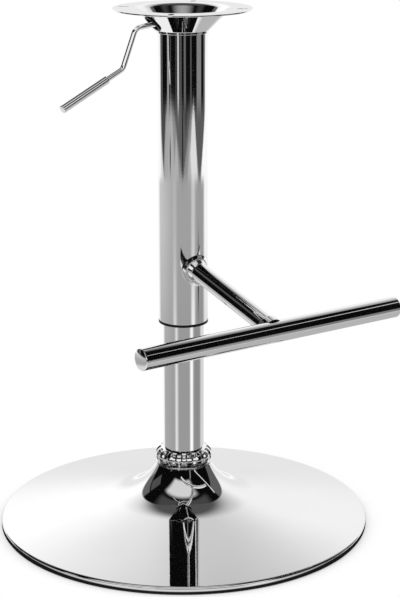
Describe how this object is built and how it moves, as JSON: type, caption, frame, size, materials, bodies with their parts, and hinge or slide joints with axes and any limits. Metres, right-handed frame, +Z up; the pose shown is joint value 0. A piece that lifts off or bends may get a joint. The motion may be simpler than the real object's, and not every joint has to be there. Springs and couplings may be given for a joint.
{
  "type": "bar stool base",
  "caption": "Chromed bar stool pedestal: trumpet foot, swivelling gas-lift column, T-shaped footrest, release lever and a funnel-shaped seat flange with radial slots.",
  "frame": {"origin": "centre of the floor face, on the column's axis", "axes": "+Z up along the column, -Y along the footrest arm, -X along the release lever"},
  "size_m": [0.46, 0.46, 0.643],
  "materials": {
    "chrome": "mirror polished chrome plate",
    "chrome_cap": "chrome-plated plastic",
    "plain_steel": "bare, lightly oiled",
    "black_steel": "black paint",
    "black_plastic": "moulded, satin",
    "black_rubber": "matt"
  },
  "bodies": {
    "base": {"base_disc": "chrome", "floor_ring": "black_rubber", "bottom_plate": "black_steel", "hub_socket": "plain_steel", "stand_tube": "chrome", "guide_bush": "black_plastic", "crown_collar": "chrome", "bearing_lower_race": "plain_steel", "bearing_rollers": "plain_steel"},
    "swivel": {"bearing_upper_race": "plain_steel", "piston_rod": "plain_steel", "piston": "plain_steel", "rubber_buffer": "black_rubber", "rod_washer": "plain_steel", "rod_clip": "plain_steel"},
    "lift": {"gas_cylinder": "black_steel", "cone_socket": "plain_steel", "cover_tube": "chrome", "glide_ring": "black_plastic", "seat_flange": "chrome", "lever_grommet": "black_plastic", "lever_bracket": "plain_steel", "lever_pin": "plain_steel", "footrest_arm": "chrome", "footrest_bar": "chrome", "bar_cap_left": "chrome_cap", "bar_cap_right": "chrome_cap"},
    "release": {"release_pin": "plain_steel"},
    "lever": {"lever_rod": "chrome", "lever_grip": "chrome"}
  },
  "joints": [
    {"name": "seat_swivel", "type": "hinge", "parent": "base", "child": "swivel", "pos_m": [0, 0, 0], "axis": [0, 0, 1], "continuous": true},
    {"name": "seat_lift", "type": "slide", "parent": "swivel", "child": "lift", "axis": [0, 0, 1], "range_m": [-0.16, 0.05]},
    {"name": "lever_hinge", "type": "hinge", "parent": "lift", "child": "lever", "pos_m": [-0.02, 0, 0.62886], "axis": [0, 1, 0], "range_deg": [0, 8], "stiffness_Nm_per_rad": 1, "springref_deg": -20.05},
    {"name": "release_slide", "type": "slide", "parent": "lift", "child": "release", "axis": [0, 0, -1], "range_m": [0, 0.0024], "stiffness_N_per_m": 3000, "springref_m": -0.002}
  ],
  "couplings": [
    {"joint": "release_slide", "follows": "lever_hinge", "m_per_rad": 0.01718}
  ]
}
